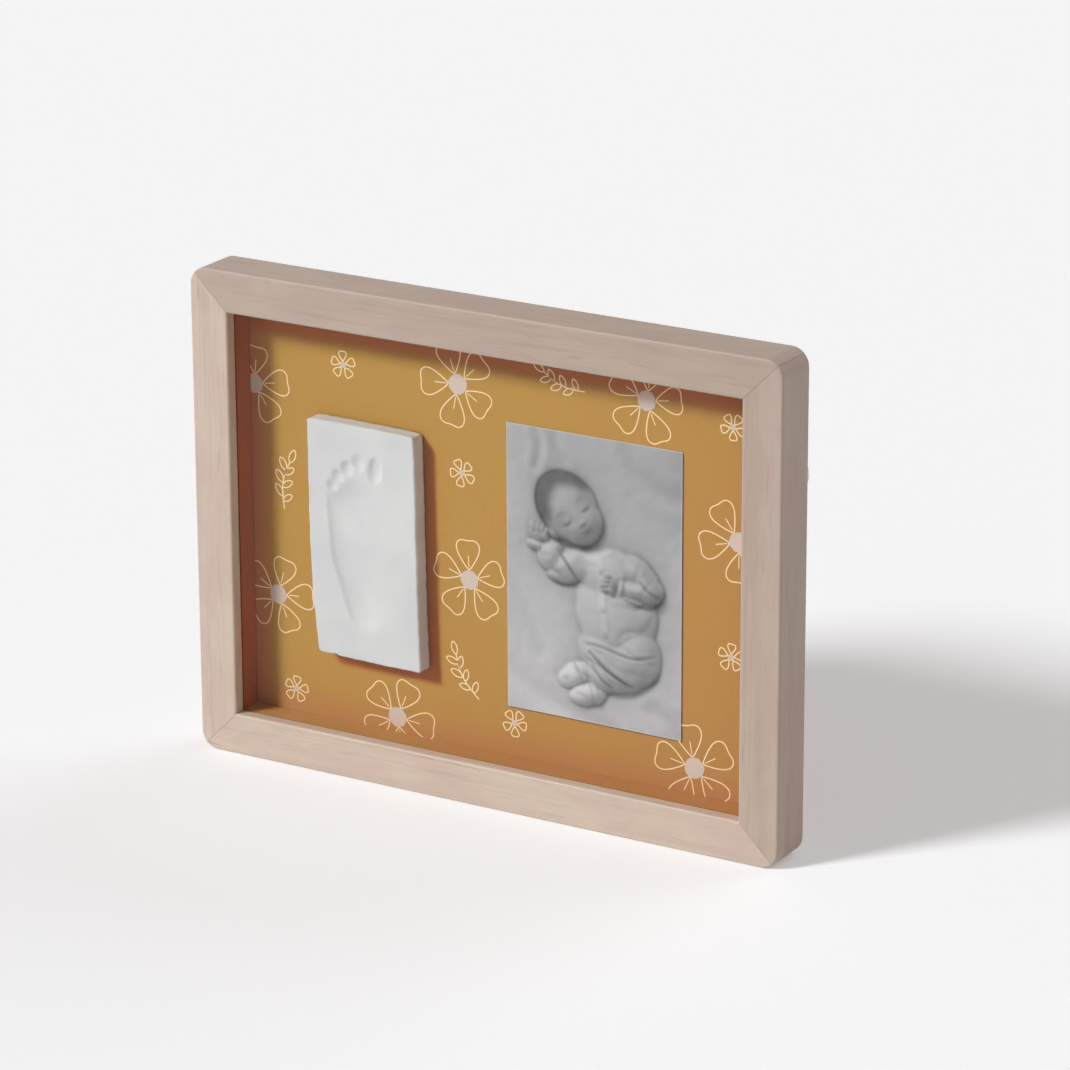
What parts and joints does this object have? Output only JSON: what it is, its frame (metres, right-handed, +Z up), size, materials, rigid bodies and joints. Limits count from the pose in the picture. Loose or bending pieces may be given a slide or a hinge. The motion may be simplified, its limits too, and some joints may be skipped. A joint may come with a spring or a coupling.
{
  "type": "shadow box picture frame",
  "caption": "Free-standing wooden shadow box frame with a clay footprint slab and a photo print behind a pane, closed by a rear panel with turn buttons.",
  "frame": {"origin": "middle of the underside, at the middle of the wooden frame's depth", "axes": "+Z up, -Y the front, +X to the right of someone looking at the front"},
  "size_m": [0.34, 0.0313, 0.26],
  "materials": {
    "whitewashed_wood": "pale whitewashed solid wood, matt",
    "clear_glass": "clear polished",
    "ochre_lining": "ochre paper over foam board, matt",
    "ochre_card": "matt ochre print with a cream line pattern",
    "fibreboard": "brown medium-density fibreboard",
    "adhesive_foam": "white foam tape",
    "dried_clay": "off-white air-dried clay, matt",
    "tape": "double-sided tape",
    "photo_paper": "black-and-white print, silk surface",
    "plated_steel": "nickel plated stamping",
    "screw_steel": "zinc plated",
    "nail_steel": "bare steel"
  },
  "bodies": {
    "frame": {"rail_top": "whitewashed_wood", "rail_bottom": "whitewashed_wood", "rail_left": "whitewashed_wood", "rail_right": "whitewashed_wood", "corner_v_nails": "nail_steel", "glass_pane": "clear_glass", "spacer_top": "ochre_lining", "spacer_bottom": "ochre_lining", "spacer_left": "ochre_lining", "spacer_right": "ochre_lining", "turn_button_screws": "screw_steel", "hanger_strap_left": "plated_steel", "hanger_strap_right": "plated_steel", "hanger_screws": "screw_steel"},
    "back": {"back_panel": "fibreboard", "backing_card": "ochre_card", "clay_foam_pads": "adhesive_foam", "clay_footprint": "dried_clay", "photo_tape_strips": "tape", "photo_print": "photo_paper"},
    "button_top_left": {"turn_button_top_left": "plated_steel"},
    "button_top_right": {"turn_button_top_right": "plated_steel"},
    "button_bottom_left": {"turn_button_bottom_left": "plated_steel"},
    "button_bottom_right": {"turn_button_bottom_right": "plated_steel"},
    "button_side_left": {"turn_button_side_left": "plated_steel"},
    "button_side_right": {"turn_button_side_right": "plated_steel"},
    "ring_left": {"hanger_ring_left": "plated_steel"},
    "ring_right": {"hanger_ring_right": "plated_steel"}
  },
  "joints": [
    {"name": "back_panel_slide", "type": "slide", "parent": "frame", "child": "back", "axis": [0, 1, 0], "range_m": [0, 0.06]},
    {"name": "button_top_left_turn", "type": "hinge", "parent": "frame", "child": "button_top_left", "pos_m": [-0.085, 0.0136, 0.252], "axis": [0, 1, 0], "range_deg": [0, 90]},
    {"name": "button_top_right_turn", "type": "hinge", "parent": "frame", "child": "button_top_right", "pos_m": [0.085, 0.0136, 0.252], "axis": [0, 1, 0], "range_deg": [0, 90]},
    {"name": "button_bottom_left_turn", "type": "hinge", "parent": "frame", "child": "button_bottom_left", "pos_m": [-0.085, 0.0136, 0.008], "axis": [0, 1, 0], "range_deg": [0, 90]},
    {"name": "button_bottom_right_turn", "type": "hinge", "parent": "frame", "child": "button_bottom_right", "pos_m": [0.085, 0.0136, 0.008], "axis": [0, 1, 0], "range_deg": [0, 90]},
    {"name": "button_side_left_turn", "type": "hinge", "parent": "frame", "child": "button_side_left", "pos_m": [-0.162, 0.0136, 0.13], "axis": [0, -1, 0], "range_deg": [0, 90]},
    {"name": "button_side_right_turn", "type": "hinge", "parent": "frame", "child": "button_side_right", "pos_m": [0.162, 0.0136, 0.13], "axis": [0, 1, 0], "range_deg": [0, 90]},
    {"name": "ring_left_swing", "type": "hinge", "parent": "frame", "child": "ring_left", "pos_m": [-0.162, 0.01528, 0.2], "axis": [1, 0, 0], "range_deg": [0, 160]},
    {"name": "ring_right_swing", "type": "hinge", "parent": "frame", "child": "ring_right", "pos_m": [0.162, 0.01528, 0.2], "axis": [1, 0, 0], "range_deg": [0, 160]}
  ]
}
